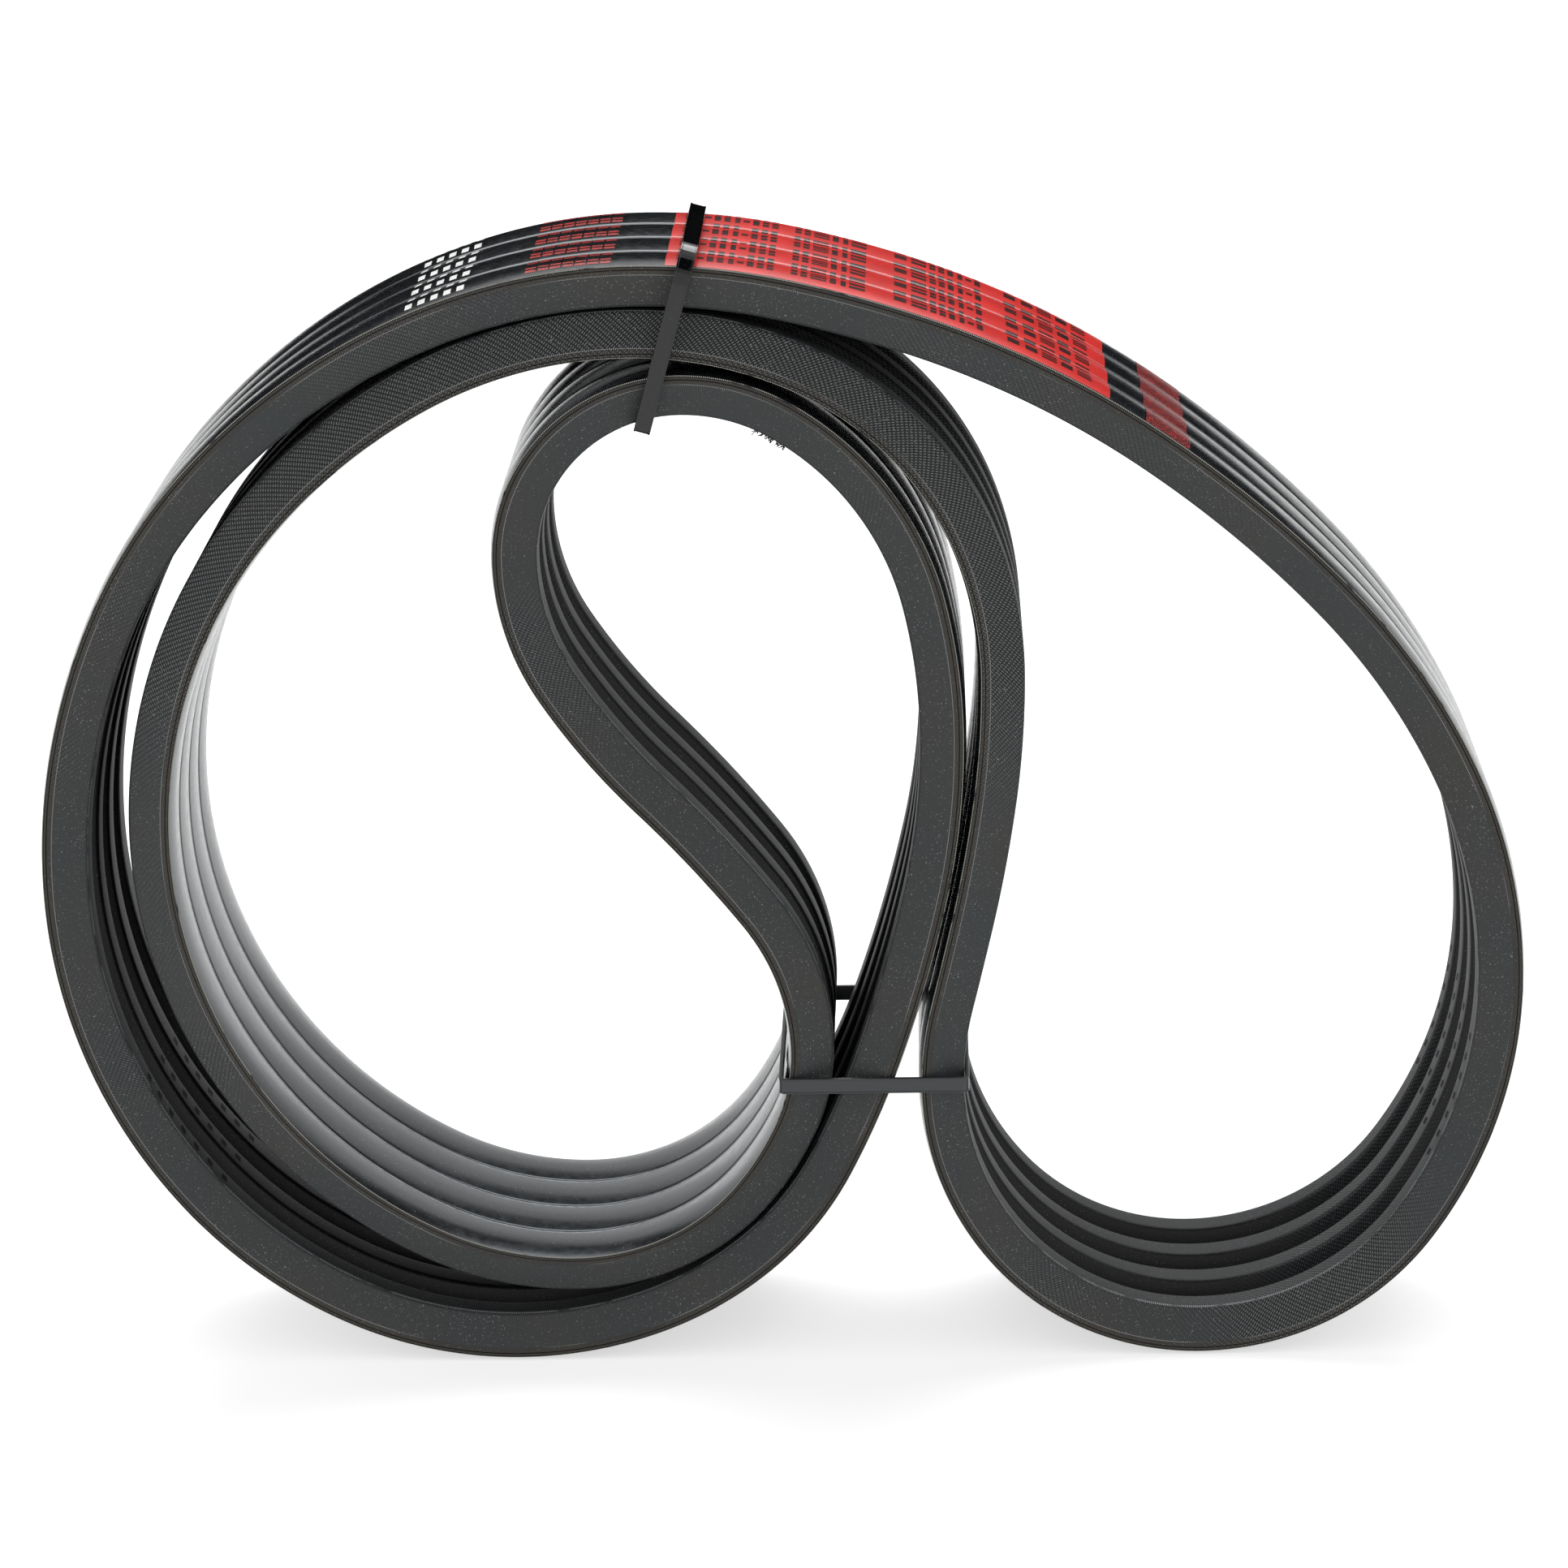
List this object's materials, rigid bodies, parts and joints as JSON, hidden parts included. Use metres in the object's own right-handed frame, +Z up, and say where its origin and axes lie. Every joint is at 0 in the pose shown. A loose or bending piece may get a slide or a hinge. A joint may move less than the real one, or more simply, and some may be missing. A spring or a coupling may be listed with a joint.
{
  "type": "joined V-belt",
  "caption": "Joined wrapped V-belt with V-shaped ribs under one tie band, folded into loops and held by nylon cable ties.",
  "frame": {"origin": "on the floor, under the middle of the folded belt", "axes": "+X to the right along the folded bundle, +Y across the belt's width towards its back edge, +Z up"},
  "size_m": [0.4406, 0.0869, 0.3442],
  "materials": {
    "band_fabric": "impregnated fabric, satin",
    "band_gum": "matt rubber edge",
    "rib_fabric": "rubberised woven fabric, matt",
    "cushion_gum": "matt",
    "cord_yarn": "twisted polyester cord",
    "core_rubber": "matt",
    "tie_nylon": "moulded nylon, glossy",
    "pawl_nylon": "moulded nylon"
  },
  "bodies": {
    "bundle": {"band_outer_ply": "band_fabric", "band_inner_ply": "band_gum", "rib_1_cover": "rib_fabric", "rib_1_top_gum": "cushion_gum", "rib_1_cords": "cord_yarn", "rib_1_cushion": "cushion_gum", "rib_1_core": "core_rubber", "rib_2_cover": "rib_fabric", "rib_2_top_gum": "cushion_gum", "rib_2_cords": "cord_yarn", "rib_2_cushion": "cushion_gum", "rib_2_core": "core_rubber", "rib_3_cover": "rib_fabric", "rib_3_top_gum": "cushion_gum", "rib_3_cords": "cord_yarn", "rib_3_cushion": "cushion_gum", "rib_3_core": "core_rubber", "rib_4_cover": "rib_fabric", "rib_4_top_gum": "cushion_gum", "rib_4_cords": "cord_yarn", "rib_4_cushion": "cushion_gum", "rib_4_core": "core_rubber", "upper_tie": "tie_nylon", "lower_tie": "tie_nylon"},
    "upper_pawl": {"upper_tie_pawl": "pawl_nylon"},
    "lower_pawl": {"lower_tie_pawl": "pawl_nylon"}
  },
  "joints": [
    {"name": "upper_pawl_flex", "type": "hinge", "parent": "bundle", "child": "upper_pawl", "pos_m": [-0.02979, 0.03988, 0.31699], "axis": [-0.9613, 0, 0.2756], "range_deg": [0, 12], "stiffness_Nm_per_rad": 0.02},
    {"name": "lower_pawl_flex", "type": "hinge", "parent": "bundle", "child": "lower_pawl", "pos_m": [0.02535, 0.03988, 0.0905], "axis": [0, 0, 1], "range_deg": [0, 12], "stiffness_Nm_per_rad": 0.02}
  ]
}
